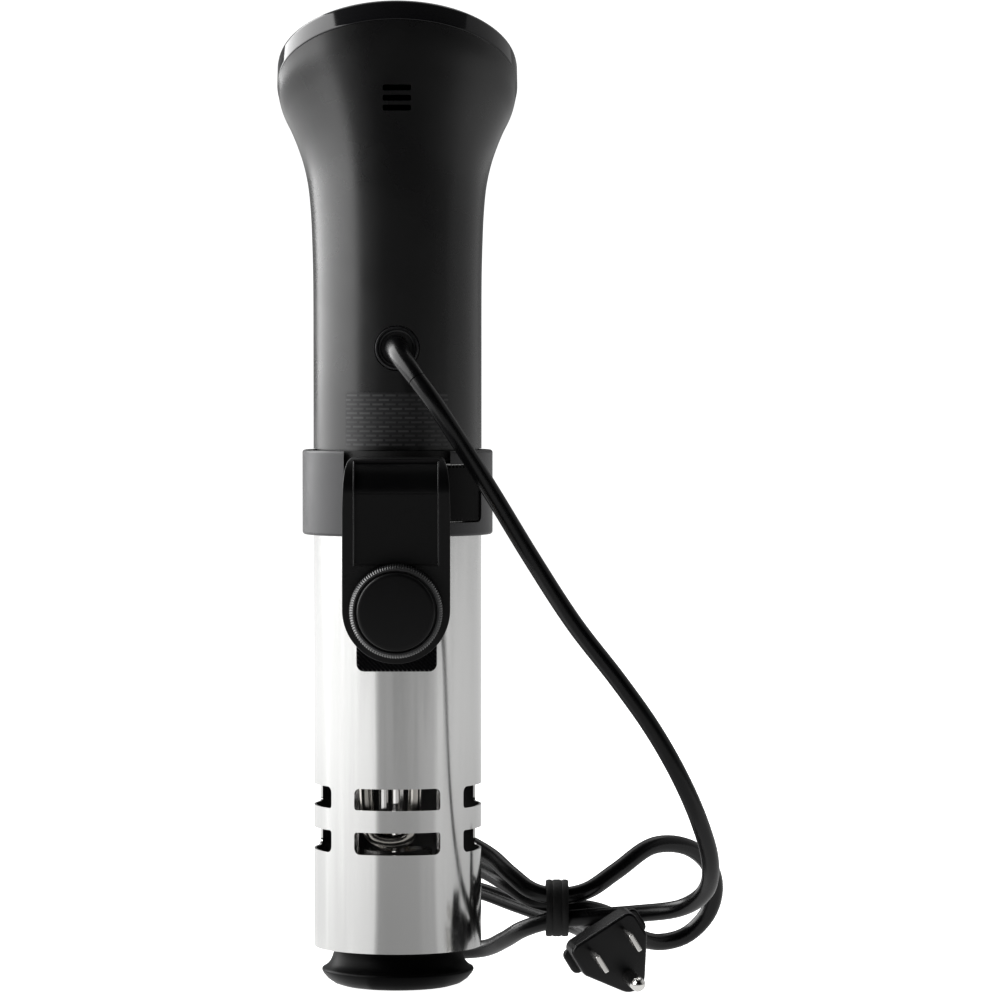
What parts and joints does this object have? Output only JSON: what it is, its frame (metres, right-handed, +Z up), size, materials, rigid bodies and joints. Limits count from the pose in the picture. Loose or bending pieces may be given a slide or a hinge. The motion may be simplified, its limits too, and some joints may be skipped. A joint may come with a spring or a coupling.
{
  "type": "sous vide circulator",
  "caption": "Stick immersion circulator: plastic control head, steel skirt with water slots, sliding collar with screw clamp for a pot wall, and a tied mains lead with plug.",
  "frame": {"origin": "centre of the foot's flat underside", "axes": "+Z up the body's axis, +Y from the clamp towards the body, control face on the +Y side"},
  "size_m": [0.1503, 0.1589, 0.3233],
  "materials": {
    "body_plastic": "satin charcoal moulding",
    "gloss_black": "mirror gloss",
    "collar_grey": "fine matte moulding",
    "clamp_black": "satin-gloss moulding",
    "knob_grey": "satin moulding",
    "soft_rubber": "matt, moulded diamond pattern",
    "skirt_steel": "brushed round the tube",
    "bright_steel": "polished",
    "motor_steel": "plated sheet",
    "brass": "turned",
    "inner_plastic": "moulded black",
    "circuit_board": "solder-masked board",
    "cord_vinyl": "satin vinyl",
    "label_film": null
  },
  "bodies": {
    "body": {"upper_body": "body_plastic", "rim_bezel": "gloss_black", "display_lens": "gloss_black", "bulkhead_seal": "soft_rubber", "shaft_seal": "soft_rubber", "cord_tie": "soft_rubber", "heater_element": "bright_steel", "temperature_probe": "bright_steel", "level_probe_low": "bright_steel", "level_probe_high": "bright_steel", "support_post_left": "bright_steel", "support_post_right": "bright_steel", "pump_housing": "bright_steel", "motor_screw_left": "bright_steel", "motor_screw_right": "bright_steel", "line_blade": "bright_steel", "neutral_blade": "bright_steel", "ground_pin": "bright_steel", "motor": "motor_steel", "motor_bracket": "motor_steel", "heat_sink": "motor_steel", "upper_bearing": "brass", "lower_bearing": "brass", "foot_cap": "inner_plastic", "bulkhead": "inner_plastic", "chassis": "inner_plastic", "relay": "inner_plastic", "heater_switch": "inner_plastic", "capacitor": "inner_plastic", "control_board": "circuit_board", "display_board": "circuit_board", "cord": "cord_vinyl", "cord_strain_relief": "cord_vinyl", "cord_grommet": "cord_vinyl", "plug_body": "cord_vinyl", "plug_strain_relief": "cord_vinyl", "rating_label": "label_film"},
    "rotor": {"drive_shaft": "bright_steel", "shaft_coupling": "brass", "motor_shaft": "bright_steel", "impeller": "inner_plastic", "cooling_fan": "inner_plastic"},
    "skirt": {"skirt": "skirt_steel"},
    "clamp": {"collar": "collar_grey", "collar_liner": "soft_rubber", "clamp_arm": "clamp_black", "arm_panel": "clamp_black", "thread_insert": "brass"},
    "knob": {"knob_ring": "knob_grey", "knob_cap": "clamp_black"},
    "pad": {"pad_carrier": "clamp_black", "pressure_pad": "soft_rubber", "clamp_screw": "bright_steel", "pad_guide_pin": "bright_steel"},
    "button": {"release_button": "soft_rubber"}
  },
  "joints": [
    {"name": "impeller_spin", "type": "hinge", "parent": "body", "child": "rotor", "pos_m": [0, 0, 0.1], "axis": [0, 0, 1], "continuous": true},
    {"name": "skirt_pull", "type": "slide", "parent": "body", "child": "skirt", "axis": [0, 0, 1], "range_m": [-0.045, 0]},
    {"name": "clamp_height", "type": "slide", "parent": "body", "child": "clamp", "axis": [0, 0, 1], "range_m": [-0.06, 0]},
    {"name": "knob_turn", "type": "hinge", "parent": "clamp", "child": "knob", "pos_m": [0, -0.072, 0.1278], "axis": [0, 1, 0], "range_deg": [0, 2160]},
    {"name": "pad_slide", "type": "slide", "parent": "clamp", "child": "pad", "axis": [0, 1, 0], "range_m": [0, 0.015]},
    {"name": "button_press", "type": "slide", "parent": "clamp", "child": "button", "axis": [-0.7193, 0.6947, 0], "range_m": [0, 0.0012], "stiffness_N_per_m": 600, "springref_m": -0.001}
  ],
  "couplings": [
    {"joint": "pad_slide", "follows": "knob_turn", "m_per_rad": 0.00039789}
  ]
}
